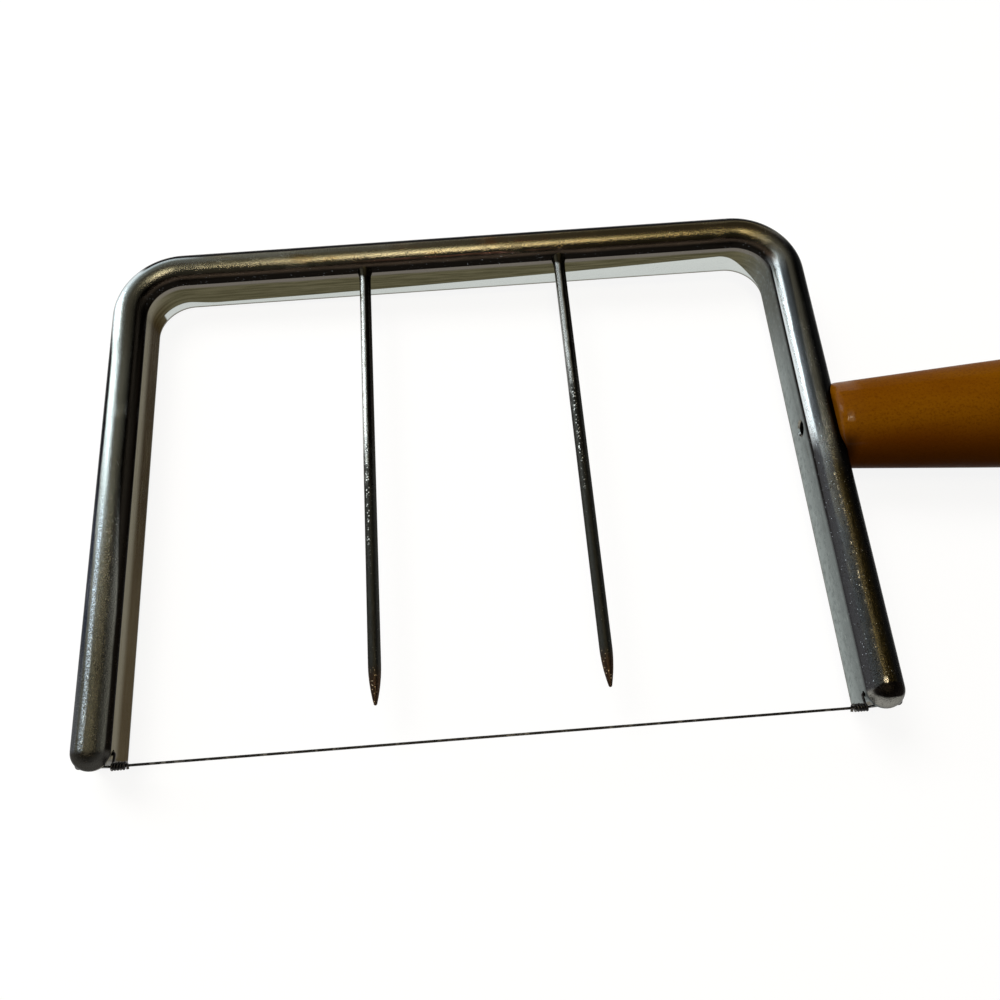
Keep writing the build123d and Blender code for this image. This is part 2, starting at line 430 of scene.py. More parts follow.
def make_bow():
    """The bar bent into a bow: its outline carried along the centre line, with both leg ends, the
    wire's two cross holes and the chamfered hole for the stud."""
    outline = bar_outline()
    places, out = bow_stations()
    rows = np.empty((len(places), len(outline), 3))
    rows[..., :2] = places[:, None] + outline[None, :, :1] * out[:, None]
    rows[..., 2] = outline[:, 1]
    end = leg_end_rows(outline, 40)
    ends = []
    for side in (-1, 1):
        cap = np.empty_like(end)
        cap[..., 0] = side * (LEG_X + end[..., 0])
        cap[..., 1] = NOSE_CENTRE_Y - end[..., 2]
        cap[..., 2] = end[..., 1]
        ends.append(cap)
    bow = closed_surface("bow", np.concatenate([ends[0][::-1], rows, ends[1]]))
    reach = 2 * BAR_WIDTH
    drill = [(0, WIRE_HOLE_RADIUS), (2 * reach, WIRE_HOLE_RADIUS)]
    holes = []
    for x in (-LEG_X, LEG_X):
        holes.append(turned("wire_hole", drill, (x - reach, WIRE_HOLE_Y, WIRE_HOLE_Z), (1, 0, 0), 24))
    mouth = (-reach, STUD_HOLE_RADIUS + STUD_HOLE_CHAMFER + reach)
    drill = [mouth, (STUD_HOLE_CHAMFER, STUD_HOLE_RADIUS), (2 * reach, STUD_HOLE_RADIUS)]
    holes.append(turned("stud_hole", drill, (LEG_INNER_X, HANDLE_Y, HANDLE_Z), (1, 0, 0), 48))
    cut(bow, holes)
    return bow


def make_pin(name, node):
    """A round pin with an ogive point: from the small blunt tip its radius grows along a parabola to
    the full one. Where it enters the bar, a fillet of braze flares it by a falling exponential."""
    low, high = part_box(node)
    x = (low.x + high.x) / 2
    z = (low.z + high.z) / 2
    blunt = arc((PIN_TIP_RADIUS, 0), PIN_TIP_RADIUS, 180, 90, 9)[1:]
    share = np.linspace(0, 1, 25)[1:]
    point_along = PIN_TIP_RADIUS + share * (PIN_POINT_LENGTH - PIN_TIP_RADIUS)
    point_radius = PIN_TIP_RADIUS + (PIN_RADIUS - PIN_TIP_RADIUS) * (1 - (1 - share) ** 2)
    point = np.stack([point_along, point_radius], axis=-1)
    to_bar = BAR_INNER_Y - low.y
    shank_along = np.linspace(PIN_POINT_LENGTH, to_bar + PIN_BURIED, 60)[1:]
    from_bar = np.clip(to_bar - shank_along, 0, None)
    flare = BRAZE_FILLET * np.exp(-from_bar / BRAZE_FILLET)
    shank = np.stack([shank_along, PIN_RADIUS + flare], axis=-1)
    profile = np.concatenate([blunt, point, shank])
    return turned(name, profile, (x, low.y, z), (0, 1, 0), 48)


def rounded_line(corners, radius, spacing):
    """A line through corners in space, each corner rounded by a quadratic curve, and points at about
    one spacing along the straight stretches."""
    corners = np.asarray(corners, float)
    points = [corners[:1]]
    for before, corner, after in zip(corners, corners[1:], corners[2:]):
        back = (before - corner) / np.linalg.norm(before - corner)
        ahead = (after - corner) / np.linalg.norm(after - corner)
        start, end = corner + back * radius, corner + ahead * radius
        straight = stretch(points[-1][-1], start, spacing)
        t = np.linspace(0, 1, 9)[1:, None]
        bend = (1 - t) ** 2 * start + 2 * t * (1 - t) * corner + t**2 * end
        points += [straight, bend]
    points.append(stretch(points[-1][-1], corners[-1], spacing))
    return np.concatenate(points)


def stretch(start, end, spacing):
    """Points from one place to another, without the first."""
    count = max(2, round(np.linalg.norm(end - start) / spacing) + 1)
    return start + np.linspace(0, 1, count)[1:, None] * (end - start)


def half_wire():
    """The wire's centre line from mid-span to the end of the tail at the right leg: under the heel, up
    the outer side, through the leg's cross hole, and round the span in a helix whose radius swells
    and shrinks a little along a sine."""
    inner_x = LEG_INNER_X - WIRE_STAND_OFF
    outer_x = LEG_OUTER_X + WIRE_STAND_OFF
    corners = [
        (0, WIRE_Y, WIRE_Z),
        (LEG_INNER_X, WIRE_Y, WIRE_Z),
        (LEG_X - WIRE_STAND_OFF, WIRE_UNDER_Y, WIRE_UNDER_Z),
        (outer_x, WIRE_UNDER_Y, WIRE_UNDER_Z),
        (outer_x, WIRE_HOLE_Y, WIRE_HOLE_Z),
        (inner_x, WIRE_HOLE_Y, WIRE_HOLE_Z),
        (inner_x, WIRE_Y, WIRE_Z - TIE_RADIUS),
    ]
    line = rounded_line(corners, WIRE_BEND_RADIUS, 1.5 * MM)
    turn = np.linspace(0, TIE_TURNS, TIE_STEPS_PER_TURN * TIE_TURNS + 1)[1:]
    angle = math.tau * turn
    wander = 1 + TIE_WANDER * np.sin(2.3 * angle / TIE_TURNS)
    x = inner_x - TIE_PITCH * turn
    y = WIRE_Y - TIE_RADIUS * wander * np.sin(angle)
    z = WIRE_Z - TIE_RADIUS * wander * np.cos(angle)
    helix = np.stack([x, y, z], axis=-1)
    way = helix[-1] - helix[-2]
    tail = stretch(helix[-1], helix[-1] + way / np.linalg.norm(way) * WIRE_TAIL, 0.2 * MM)
    return np.concatenate([line, helix, tail])


def make_wire():
    """The wire: a circle carried along its line, square to the way that the line goes."""
    half = half_wire()
    line = np.concatenate([half[:0:-1] * (-1, 1, 1), half])
    way = np.gradient(line, axis=0)
    way /= np.linalg.norm(way, axis=1)[:, None]
    side = np.cross(way, np.array([1, 1, 1]) / math.sqrt(3))
    side /= np.linalg.norm(side, axis=1)[:, None]
    up = np.cross(way, side)
    angle = np.linspace(0, math.tau, 16, endpoint=False)
    ring = np.cos(angle)[:, None] * side[:, None] + np.sin(angle)[:, None] * up[:, None]
    return closed_surface("slicing_wire", line[:, None] + WIRE_RADIUS * ring, sharp=60)


def bezier(p0, p1, p2, p3, count):
    """Points of a cubic curve with four control points."""
    t = np.linspace(0, 1, count)[:, None]
    p0, p1, p2, p3 = (np.array(p) for p in (p0, p1, p2, p3))
    return (1 - t) ** 3 * p0 + 3 * t * (1 - t) ** 2 * p1 + 3 * t**2 * (1 - t) * p2 + t**3 * p3


def make_grip():
    """The handle: a taper that swells to the belly and ends in a full dome, both cubic curves, turned
    about its axis, with a rounded rim at the neck and a saddle cut by the leg's own outline."""
    third = HANDLE_BELLY_LENGTH / 3
    tip = HANDLE_BELLY_LENGTH + HANDLE_END_LENGTH
    neck = (0, HANDLE_NECK)
    taper = (third, HANDLE_NECK + HANDLE_TAPER * third)
    before_belly = (2 * third, HANDLE_BELLY)
    belly = (HANDLE_BELLY_LENGTH, HANDLE_BELLY)
    shoulder = (HANDLE_BELLY_LENGTH + HANDLE_END_FULLNESS * HANDLE_END_LENGTH, HANDLE_BELLY)
    swell = bezier(neck, taper, before_belly, belly, 90)
    end = bezier(belly, shoulder, (tip, HANDLE_END_FULLNESS * HANDLE_BELLY), (tip, 0), 70)
    face_radius = HANDLE_NECK - HANDLE_RIM_RADIUS
    face = [(0, share * face_radius) for share in (0.1, 0.4, 0.7)]
    rim = arc((HANDLE_RIM_RADIUS, face_radius), HANDLE_RIM_RADIUS, 180, 90, 13)
    swell = swell[swell[:, 0] > 1.2 * HANDLE_RIM_RADIUS]
    profile = np.concatenate([face, rim, swell, end[1:-1]])
    start = (HANDLE_START_X, HANDLE_Y, HANDLE_Z)
    grip = turned("grip", profile, start, (1, 0, 0), 144)
    outline = bar_outline(SADDLE_CLEARANCE)
    leg = np.empty((2, len(outline), 3))
    leg[..., 0] = LEG_X + outline[:, 0]
    leg[..., 1] = HANDLE_Y + np.array([[-1], [1]]) * 2 * HANDLE_NECK
    leg[..., 2] = outline[:, 1]
    cut(grip, [closed_surface("leg_cutter", leg)])
    return grip


def facing(lean):
    """The place round the bar where its front leans by a share: -1 is outwards, 0 is straight ahead,
    and 1 is inwards."""
    return FRONT_FROM + math.acos(-lean) * NOSE_RADIUS / MM


# Colours that every worn plate has: the pits, and the tint that dulls its shine at a grazing angle
PIT = (0.03, 0.022, 0.013, 1)
GRAZING_TINT = (0.45, 0.45, 0.45, 1)


def worn_plate(p, colour, roughness, pitted, hairlines):
    """Finishes old chrome plate of a given colour and roughness: hairline scratches, and, where the
    plate is pitted, small dark pits in a skin grown coarse."""
    place = p.place()
    clusters = p.step(p.noise(place, 1.1, 3.0, 0.6), 0.44, 0.62)
    pits = p.specks(place, 0.4, 0.13) * clusters * pitted
    colour = p.mix(colour, PIT, pits * 0.75)
    scratches = p.step(hairlines, 0.62, 0.74)
    roughness = roughness + 0.3 * pits + 0.1 * scratches
    coarse = p.noise(place, 0.25, 3.0, 0.7)
    ripple = p.bump(p.noise(place, 3.0, 2.0), 0.02 * MM, 0.3)
    lined = p.bump(hairlines, 0.002 * MM, 0.5, ripple)
    rough = p.bump(coarse * (0.6 + pitted), 0.06 * MM, 1.0, lined)
    normal = p.bump(1 - pits, 0.03 * MM, 0.8, rough)
    skin = {"Roughness": roughness, "Normal": normal, "Specular_Tint": GRAZING_TINT}
    p.principled(Base_Color=colour, Metallic=1.0, **skin)


class BowPlaces:
    """Where a point of the bow lies. x runs to the right, y falls from 0 at the top bar's outer side to
    the leg ends, and around goes from the middle of the back by the outer side, the front and the
    inner side, all in millimetres. left and right are masks for what lies beyond the middle of each
    corner, right_leg for the right leg below its corner, on_flank for the inner side and low for the
    lower legs. The noises break the edges of what is painted by them."""

    def __init__(self, p):
        self.place = p.place()
        self.x, self.y, self.z = p.parts(self.place)
        self.around = p.parts(p.surface())[1]
        corner_x = (LEG_X - BEND_RADIUS) / MM
        corner_y = (BAR_MIDDLE_Y - BEND_RADIUS) / MM
        self.left = p.step((corner_y - self.y) - (self.x + corner_x), -5, 7)
        self.right = p.step((corner_y - self.y) + (self.x - corner_x), -5, 7)
        self.wander = (p.noise(p.surface((0.25, 1)), 2.4, 4.0, 0.6) - 0.5) * 1.1
        self.edge = self.around + self.wander * 0.45
        self.leaning_edge = self.edge - LEAN_SHIFT * p.step(self.y, -25, -85)
        self.clouds = p.noise(p.surface((0.35, 1)), 2.6, 4.0, 0.62)
        self.streaks = p.noise(p.surface((0.06, 1)), 0.55, 3.0, 0.6)
        self.on_flank = p.step(self.around + 0.45 * self.right, FRONT_TO + 0.3, FRONT_TO + 0.5)
        self.nose = (NOSE_CENTRE_Y / MM - self.y) / (NOSE_RADIUS / MM) + self.wander * 0.05
        self.low = p.step(self.y, -40, -72)
        self.right_leg = self.right * p.step(self.y, -9, -15)


# Colours of the bar's front: along the top bar, down the left leg, and down the right leg, among them
# painted reflections, highlights and shade
TOP_OLIVE = (0.26, 0.25, 0.2, 1)
TOP_BROWN = (0.16, 0.135, 0.08, 1)
REDDISH_CLOUDS = (0.26, 0.14, 0.07, 1)
REFLECTION_LINE = (0.75, 0.42, 0.33, 1)
BROWN_CLOUDS = (0.24, 0.185, 0.095, 1)
LEFT_LEG_CROWN = (0.41, 0.44, 0.43, 1)
CORNER_HIGHLIGHT = (0.86, 0.95, 0.97, 1)
DULL_CROWN = (0.2, 0.2, 0.175, 1)
DARK_CROWN = (0.11, 0.108, 0.088, 1)
BLUISH_PAINTED_STREAK = (0.6, 0.68, 0.76, 1)
RIGHT_LEG_CROWN = (0.3, 0.31, 0.3, 1)
INNER_SLATE = (0.1, 0.105, 0.108, 1)
INNER_DARK_SLATE = (0.055, 0.058, 0.06, 1)
INNER_OLIVE = (0.12, 0.11, 0.085, 1)
OUTER_OLIVE = (0.13, 0.11, 0.065, 1)
OUTER_HALF_SHADE = (0.045, 0.035, 0.015, 1)
CROWN_GLINTS = (0.45, 0.41, 0.33, 1)


def crown_colour(p, at):
    """The front of the bar: warm with brown and reddish clouds on the top bar, cool down the legs, and
    duller towards their ends, where a narrow streak of painted reflection stays brighter than the rest.
    A thin painted reflection line runs along the top bar, a painted highlight lies round the left
    corner, a line of painted glints runs down the right leg, and painted shade darkens that leg's outer
    half."""
    colour = p.mix(TOP_OLIVE, TOP_BROWN, p.step(at.x, -30, 35))
    reddish = p.step(p.noise(at.place, 7.0, 3.0, 0.6), 0.45, 0.6) * p.band(at.x, -16, -4, 10, 22)
    reddish = reddish * p.step(at.edge, facing(0.42), facing(0.2))
    colour = p.mix(colour, REDDISH_CLOUDS, reddish * 0.6)
    # Painted reflection: a thin coppery line at one slope of the top bar's front, where a bright line is
    # mirrored
    reflection_line = p.band(at.edge, facing(0.68), facing(0.72), facing(0.78), facing(0.82))
    reflection_line = reflection_line * p.band(at.x, -24, -8, 6, 24) * p.step(at.streaks, 0.4, 0.52)
    colour = p.mix(colour, REFLECTION_LINE, reflection_line)
    colour = p.mix(colour, LEFT_LEG_CROWN, at.left)
    colour = p.mix(colour, RIGHT_LEG_CROWN, at.right)
    brown = p.step(at.clouds, 0.5, 0.72) * (0.7 - 0.5 * p.largest(at.left, at.right))
    colour = p.mix(colour, BROWN_CLOUDS, brown)
    corner = p.step(at.x, -43, -52) * p.step(at.y, -28, -15)
    colour = p.mix(colour, DULL_CROWN, corner * 0.85)
    # Painted highlight: a bright streak round the outer side of the left corner
    round_corner = p.step(at.x, -46, -53) * p.step(at.y, -24, -12)
    round_corner = round_corner * p.step(at.edge, facing(0.0), facing(-0.3))
    colour = p.mix(colour, CORNER_HIGHLIGHT, round_corner)

    colour = p.mix(colour, DULL_CROWN, at.left * p.step(at.y, -46, -64))
    colour = p.mix(colour, DARK_CROWN, at.left * p.step(at.y, -62, -80))
    # Painted reflection: a bluish streak down the lower left leg, where the window is mirrored
    streak = p.band(at.leaning_edge, facing(-0.38), facing(-0.24), facing(-0.14), facing(0.0))
    streak = streak * (0.35 + 0.65 * p.step(p.noise(at.place, 0.25, 2.0), 0.42, 0.6))
    colour = p.mix(colour, BLUISH_PAINTED_STREAK, streak * at.left * p.step(at.y, -46, -60))

    dulled = at.right * p.step(at.y, -45, -56)
    inner_half = p.mix(INNER_SLATE, INNER_DARK_SLATE, p.step(at.y, -58, -76))
    inner_half = p.mix(inner_half, INNER_OLIVE, p.step(at.clouds, 0.45, 0.65) * 0.6)
    # Painted shade: the outer half of the right leg below the handle darkens towards its rim
    outer_half = p.mix(OUTER_OLIVE, OUTER_HALF_SHADE, p.step(at.edge, facing(0.3), facing(0.02)))
    half = p.mix(inner_half, outer_half, p.step(at.edge, facing(0.38), facing(0.26)))
    colour = p.mix(colour, half, dulled)
    # Painted glints: a broken line of warm glints down the right leg, where the lamp is mirrored
    glint = p.band(at.edge, facing(0.32), facing(0.36), facing(0.42), facing(0.46))
    broken = p.step(p.noise(at.place, 0.7, 3.0), 0.5, 0.6) * p.step(at.clouds, 0.42, 0.56)
    return p.mix(colour, CROWN_GLINTS, glint * dulled * broken)


# Painted shade on the bar's inner shoulder, where the pale floor would be mirrored
SHOULDER_BROWN = (0.09, 0.065, 0.045, 1)
SHOULDER_UMBER = (0.02, 0.017, 0.013, 1)
SHOULDER_BLACK = (0.006, 0.005, 0.004, 1)
SHOULDER_SLATE = (0.05, 0.05, 0.053, 1)


def shoulder_shade_colour(p, at):
    """Painted shade on the bar's inner shoulder: brown on the top bar, darker on the left leg, black
    beside the flat side, and slate on the right leg."""
    colour = p.mix(SHOULDER_BROWN, SHOULDER_UMBER, at.left)
    colour = p.mix(colour, SHOULDER_BLACK, p.step(at.edge, facing(0.8), facing(0.96)))
    return p.mix(colour, SHOULDER_SLATE, at.right_leg)


# Colours of the flat inner sides, painted as the floor's shade and light mirrored in them: the top
# bar's, the left leg's, the right leg's, and a painted strip of reflected light
FLANK_DARK_OLIVE = (0.07, 0.064, 0.034, 1)
FLANK_OLIVE = (0.122, 0.112, 0.066, 1)
FLANK_EDGE_OLIVE = (0.16, 0.145, 0.125, 1)
FLANK_UPPER_BROWN = (0.045, 0.031, 0.014, 1)
FLANK_LOWER_BROWN = (0.085, 0.064, 0.034, 1)
FLANK_EDGE_BROWN = (0.23, 0.21, 0.155, 1)
FLANK_STREAKS = (0.13, 0.11, 0.06, 1)
FLANK_GREY = (0.23, 0.255, 0.25, 1)
FLANK_PALE_GREY = (0.36, 0.4, 0.39, 1)
FLANK_UPPER_GREY = (0.11, 0.11, 0.09, 1)
FLANK_CLOUDS = (0.12, 0.12, 0.105, 1)
FLANK_SPECKS = (0.5, 0.55, 0.53, 1)
FLANK_MOTTLE = (0.2, 0.225, 0.22, 1)
FLANK_SCRATCHES = (0.5, 0.56, 0.54, 1)
CREASE_UPPER = (0.03, 0.03, 0.03, 1)
CREASE_LOWER = (0.1, 0.105, 0.105, 1)
LIT_STRIP_REFLECTION = (0.64, 0.68, 0.66, 1)


def flank_colour(p, at):
    """The flat inner sides, their tones painted reflections of shade and light: olive on the top bar,
    brown on the left leg, grey on the right leg, dark along the crease, with streaks, specks, mottling
    and scratches of their own, and beside the back edge of the top bar a strip of painted reflected
    light that widens to the right."""
    deep = (at.around - FRONT_TO) / (FLANK_TO - FRONT_TO)
    olive = p.mix(FLANK_DARK_OLIVE, FLANK_OLIVE, p.step(at.streaks, 0.32, 0.66))
    olive = p.mix(olive, FLANK_EDGE_OLIVE, p.step(deep + at.wander * 0.06, 0.24, 0.15))

    brown = p.mix(FLANK_UPPER_BROWN, FLANK_LOWER_BROWN, p.step(at.y, -45, -75))
    brown = p.mix(FLANK_EDGE_BROWN, brown, p.step(deep + at.wander * 0.05, 0.2, 0.55))
    brown = p.mix(brown, FLANK_STREAKS, p.step(at.streaks, 0.5, 0.62) * 0.3)

    grey = p.mix(FLANK_GREY, FLANK_PALE_GREY, p.step(deep + at.wander * 0.12, 0.2, 0.9))
    grey = p.mix(grey, FLANK_UPPER_GREY, p.step(at.y, -34, -14) * 0.8)
    grey = p.mix(grey, FLANK_CLOUDS, p.step(at.clouds, 0.55, 0.75) * 0.5)
    grey = p.mix(grey, FLANK_SPECKS, p.specks(at.place, 0.8, 0.07) * 0.6)
    grey = p.mix(grey, FLANK_MOTTLE, p.step(p.noise(at.place, 1.1, 5.0, 0.7), 0.48, 0.64) * 0.7)
    scratched = p.step(p.noise(p.place((1, 0.35, 1.6)), 0.5, 2.0), 0.62, 0.68)
    grey = p.mix(grey, FLANK_SCRATCHES, scratched * 0.45)
    # Painted shade: a dark line along the crease at the edge of the right leg's flat side, lighter
    # further down
    crease = p.mix(CREASE_UPPER, CREASE_LOWER, p.step(at.y, -54, -70))
    grey = p.mix(crease, grey, p.step(deep + at.wander * 0.03, -0.02, 0.14))

    # Painted reflection: a pale strip of lit floor mirrored beside the top bar's back edge, widening to
    # the right
    strip_from, strip_length = -47, 85
    share = (at.x - strip_from) / strip_length
    width = 0.75 + 1.1 * share + 1.7 * share * share + 0.8 * p.step(at.x, strip_from, -54)
    strip_end = p.step(at.x, 50, 59)
    width = width * (1 - strip_end) - 0.2 * strip_end
    wear_and_lit_strip = p.step(at.around + width + at.wander * 0.1, FLANK_TO - 0.1, FLANK_TO + 0.1)
    wear_and_lit_strip = wear_and_lit_strip * (1 - p.step(at.left, 0.52, 0.6))
    colour = p.mix(p.mix(olive, brown, at.left), grey, at.right)
    return p.mix(colour, LIT_STRIP_REFLECTION, wear_and_lit_strip * 0.95)


# Painted shade and sheen on the bar's outer shoulder
OUTER_BLACK = (0.012, 0.012, 0.012, 1)
UPPER_BLUE_BLACK = (0.012, 0.012, 0.014, 1)
LOWER_BLUE = (0.035, 0.04, 0.058, 1)
LOW_EDGE_GREY = (0.1, 0.105, 0.11, 1)
PALE_STREAKS = (0.17, 0.18, 0.2, 1)


def outer_shade_colour(p, at, colour):
    """Paints shade over the outer shoulder of the bar on a given colour, with a painted bluish sheen and
    pale streaks down the left leg."""
    # Painted shade where the outer shoulder would mirror the pale floor
    on_top = (1 - p.step(at.left, 0.05, 0.35)) * (1 - at.right)
    top = on_top * p.step(at.edge, facing(-0.18), facing(-0.34))
    left_edge = at.leaning_edge + 1.2 * p.step(at.y, -24, -13)
    left = at.left * p.step(left_edge, facing(-0.38), facing(-0.55))
    right = at.right * p.step(at.edge + 0.5 * at.low, facing(0.15), facing(-0.25))
    bluish = p.mix(UPPER_BLUE_BLACK, LOWER_BLUE, p.step(at.y, -40, -60))
    low_edge = p.step(at.y, -70, -86) * p.step(at.edge, facing(-0.8), facing(-0.6))
    bluish = p.mix(bluish, LOW_EDGE_GREY, low_edge)
    pale = p.step(at.streaks, 0.48, 0.68) * p.step(at.y, -45, -70)
    bluish = p.mix(bluish, PALE_STREAKS, pale * 0.7)
    colour = p.mix(colour, OUTER_BLACK, p.largest(top, right))
    return p.mix(colour, bluish, left)


# Colours of the leg ends, painted reflections, shade and a highlight
LEFT_NOSE = (0.045, 0.043, 0.038, 1)
RIGHT_NOSE = (0.24, 0.235, 0.21, 1)
NOSE_OVAL = (0.012, 0.01, 0.009, 1)
HIGHLIGHT_SPOT = (1, 0.92, 0.78, 1)


def nose_colour(p, at, colour):
    """Paints the leg ends over a given colour with reflections: dull and dark on the left, and on the
    right grey round a dark oval of painted shade, with a painted highlight spot above it."""
    on_front = 1 - at.on_flank
    # Painted reflections: a dull dark left leg end and a grey right one
    end = p.mix(LEFT_NOSE, RIGHT_NOSE, at.right)
    colour = p.mix(colour, end, p.step(at.nose, -0.05, 0.25) * on_front)
    # Painted shade: a dark oval on the right leg's end
    along = (at.nose - 0.2) / 0.4
    across = (at.x - LEG_X / MM) / 2.5
    oval = p.step(along * along + across * across + at.wander * 0.3, 1.2, 0.8)
    colour = p.mix(colour, NOSE_OVAL, oval * on_front)
    # Painted highlight: a small bright spot above the oval
    spot_x = LEG_X / MM - 0.6
    spot_y = NOSE_CENTRE_Y / MM + 0.9
    off_x = (at.x - spot_x) / 0.35
    off_y = (at.y - spot_y) / 0.5
    spot = p.step(off_x * off_x + off_y * off_y + at.wander * 0.8, 1.3, 0.5)
    return p.mix(colour, HIGHLIGHT_SPOT, spot * on_front)


# The bow's other colours: a painted reflection above the handle with painted shade beside it, painted
# shade along the crease and in the hole, painted glints, and the back
BESIDE_BRIGHT = (0.09, 0.095, 0.1, 1)
BRIGHT_SHOULDER = (0.78, 0.84, 0.86, 1)
CREASE_BLACK = (0.012, 0.011, 0.01, 1)
PLATE_GLINTS = (0.72, 0.78, 0.84, 1)
BACK_PLATE = (0.28, 0.27, 0.235, 1)
BACK_CLOUDS = (0.2, 0.185, 0.145, 1)
HOLE_SHADE = (0.01, 0.008, 0.007, 1)


def bow_chrome(name):
    """The bow's old chrome plate: its crown, shoulders, flat sides, leg ends and back, and the hole for
    the stud, each in its own colour, much of it painted reflection and shade, with pits and painted
    bright glints where the plate has roughened."""
    material, p = new_material(name)
    at = BowPlaces(p)
    upper = at.edge + 0.35 * p.step(at.y, -34, -16) * at.right
    # Painted reflection: a bright stretch on the right leg's inner shoulder above the handle, with
    # painted shade on the crown beside it
    bright = at.right_leg * p.step(at.y + at.wander * 6, -51, -44)
    beside_bright = bright * p.step(upper, facing(0.36), facing(0.48))
    crown = p.mix(crown_colour(p, at), BESIDE_BRIGHT, beside_bright)
    shoulder = p.mix(shoulder_shade_colour(p, at), BRIGHT_SHOULDER, bright)
    inward = (0.6 - 1.3 * p.step(at.y, -45, -70)) * at.left
    colour = p.mix(crown, shoulder, p.step(upper + inward, facing(0.72), facing(0.82)))
    # Painted shade: a black line along the right leg's crease, fainter further down
    crease = at.right * p.step(at.around, FRONT_TO - 0.65, FRONT_TO - 0.5)
    crease = crease * (1 - 0.75 * p.step(at.y, -54, -70))
    colour = p.mix(colour, CREASE_BLACK, crease)
    colour = p.mix(colour, flank_colour(p, at), at.on_flank)

    rough = p.largest(at.low, p.step(p.noise(at.place, 6.0, 2.0), 0.5, 0.66) * 0.5)
    rough = p.largest(rough, at.right * p.step(at.y, -34, -50)) * (1 - 0.6 * at.on_flank)
    # Painted glints: bright specks in clusters where the plate is rough
    clusters = p.step(p.noise(at.place, 1.4, 3.0, 0.6), 0.46, 0.62)
    glints = p.specks(at.place, 0.42, 0.08) * clusters * (0.3 + rough) * (1 - at.on_flank)
    glints = glints * (1 - at.left * p.step(at.edge, facing(0.1), facing(0.3)))
    colour = p.mix(colour, PLATE_GLINTS, glints * 0.8)
    colour = outer_shade_colour(p, at, colour)
    colour = nose_colour(p, at, colour)
    back = p.mix(BACK_PLATE, BACK_CLOUDS, p.step(at.clouds, 0.35, 0.75))
    outer_back = p.step(at.around, FRONT_FROM + 1.2, FRONT_FROM + 0.2)
    inner_back = p.step(at.around, FLANK_TO, FLANK_TO + 0.3)
    colour = p.mix(colour, back, p.largest(outer_back, inner_back))
    # Painted shade inside the stud's hole
    off_y = at.y - HANDLE_Y / MM
    off_z = at.z - HANDLE_Z / MM
    mouth = (LEG_INNER_X + STUD_HOLE_CHAMFER) / MM
    in_hole = p.step(off_y * off_y + off_z * off_z, 1.75, 1.5) * p.step(at.x, mouth - 0.2, mouth)
    colour = p.mix(colour, HOLE_SHADE, in_hole)

    roughness = 0.13 + 0.05 * p.step(at.clouds, 0.4, 0.7) + 0.07 * at.low
    roughness = roughness + 0.1 * at.on_flank + 0.14 * at.on_flank * at.right
    hairlines = p.noise(p.surface((0.04, 1)), 0.1, 2.0)
    worn_plate(p, colour, roughness, rough, hairlines)
    return material


# Colours of the pins, most of them painted reflections, shade and glints
PIN_SHADE = (0.022, 0.02, 0.017, 1)
PIN_BRIGHT_REFLECTION = (0.62, 0.62, 0.6, 1)
PIN_PATCHES = (0.4, 0.39, 0.35, 1)
PIN_EDGE_GREY = (0.3, 0.3, 0.29, 1)
PIN_LOWER = (0.036, 0.036, 0.032, 1)
PIN_SPARKLE = (0.9, 0.9, 0.86, 1)
PIN_FLECKS = (0.3, 0.3, 0.28, 1)
POINT_BROWN = (0.05, 0.032, 0.022, 1)
POINT_GLINTS = (0.8, 0.62, 0.42, 1)
BRAZE_GRIME = (0.03, 0.026, 0.018, 1)


def pin_chrome(name):
    """The pins' plate, painted with their reflections: bright on the left near the root, breaking up
    into painted glints further down, nearly black as painted shade on the right and darker towards the
    point, and brown with a few painted glints on the point itself."""
    material, p = new_material(name)
    place = p.place()
    x, y = p.parts(place)[:2]
    patches = p.noise(p.place((1, 0.3, 1)), 0.8, 4.0, 0.65)
    first_x, second_x = (pin_x / MM for pin_x in PIN_XS)
    middle = (first_x + second_x) / 2
    second = p.step(x, middle - 1, middle + 1)
    axis_x = first_x + second * (second_x - first_x)
    lean = (x - axis_x) / (PIN_RADIUS / MM) + (patches - 0.5) * 0.25
    # Painted reflection: bright on the left of each pin, grey on the second pin's left edge
    plate = p.mix(PIN_BRIGHT_REFLECTION, PIN_PATCHES, p.step(patches, 0.5, 0.62))
    plate = p.mix(plate, PIN_EDGE_GREY, second * p.step(lean, -0.35, -0.5))
    # Painted shade: nearly black on the right of each pin
    colour = p.mix(plate, PIN_SHADE, p.step(lean, -0.14, 0.1))
    fade = y - 12 * second + (patches - 0.5) * 30
    faded = p.step(fade, -38, -50)
    colour = p.mix(colour, PIN_LOWER, faded)
    # Painted glints down the pins
    sparkle = p.specks(place, 0.42, 0.17) * p.band(fade, -66, -54, -44, -36)
    sparkle = sparkle * p.band(lean, -0.65, -0.45, -0.1, 0.0)
    colour = p.mix(colour, PIN_SPARKLE, sparkle)
    flecks = p.specks(place, 0.5, 0.08) * p.step(patches, 0.45, 0.6)
    colour = p.mix(colour, PIN_FLECKS, flecks * 0.7)
    point = p.step(y, -81, -84)
    colour = p.mix(colour, POINT_BROWN, point)
    # Painted glints on the point
    point_glints = point * p.specks(place, 0.55, 0.14) * p.step(lean, 0.6, 0.3)
    colour = p.mix(colour, POINT_GLINTS, point_glints)
    root_y = BAR_INNER_Y / MM
    root = p.step(y + (patches - 0.5) * 1.5, root_y - 2.0, root_y - 1.2)
    colour = p.mix(colour, BRAZE_GRIME, root)
    pitted = 0.15 + 0.6 * p.step(y, -30, -60)
    hairlines = p.noise(p.place((1, 0.05, 1)), 0.1, 2.0)
    worn_plate(p, colour, 0.1 + 0.2 * faded + 0.2 * root, pitted, hairlines)
    return material


# Colours of the wire
WIRE_DARK = (0.03, 0.028, 0.027, 1)
WIRE_RUBBED = (0.2, 0.19, 0.18, 1)


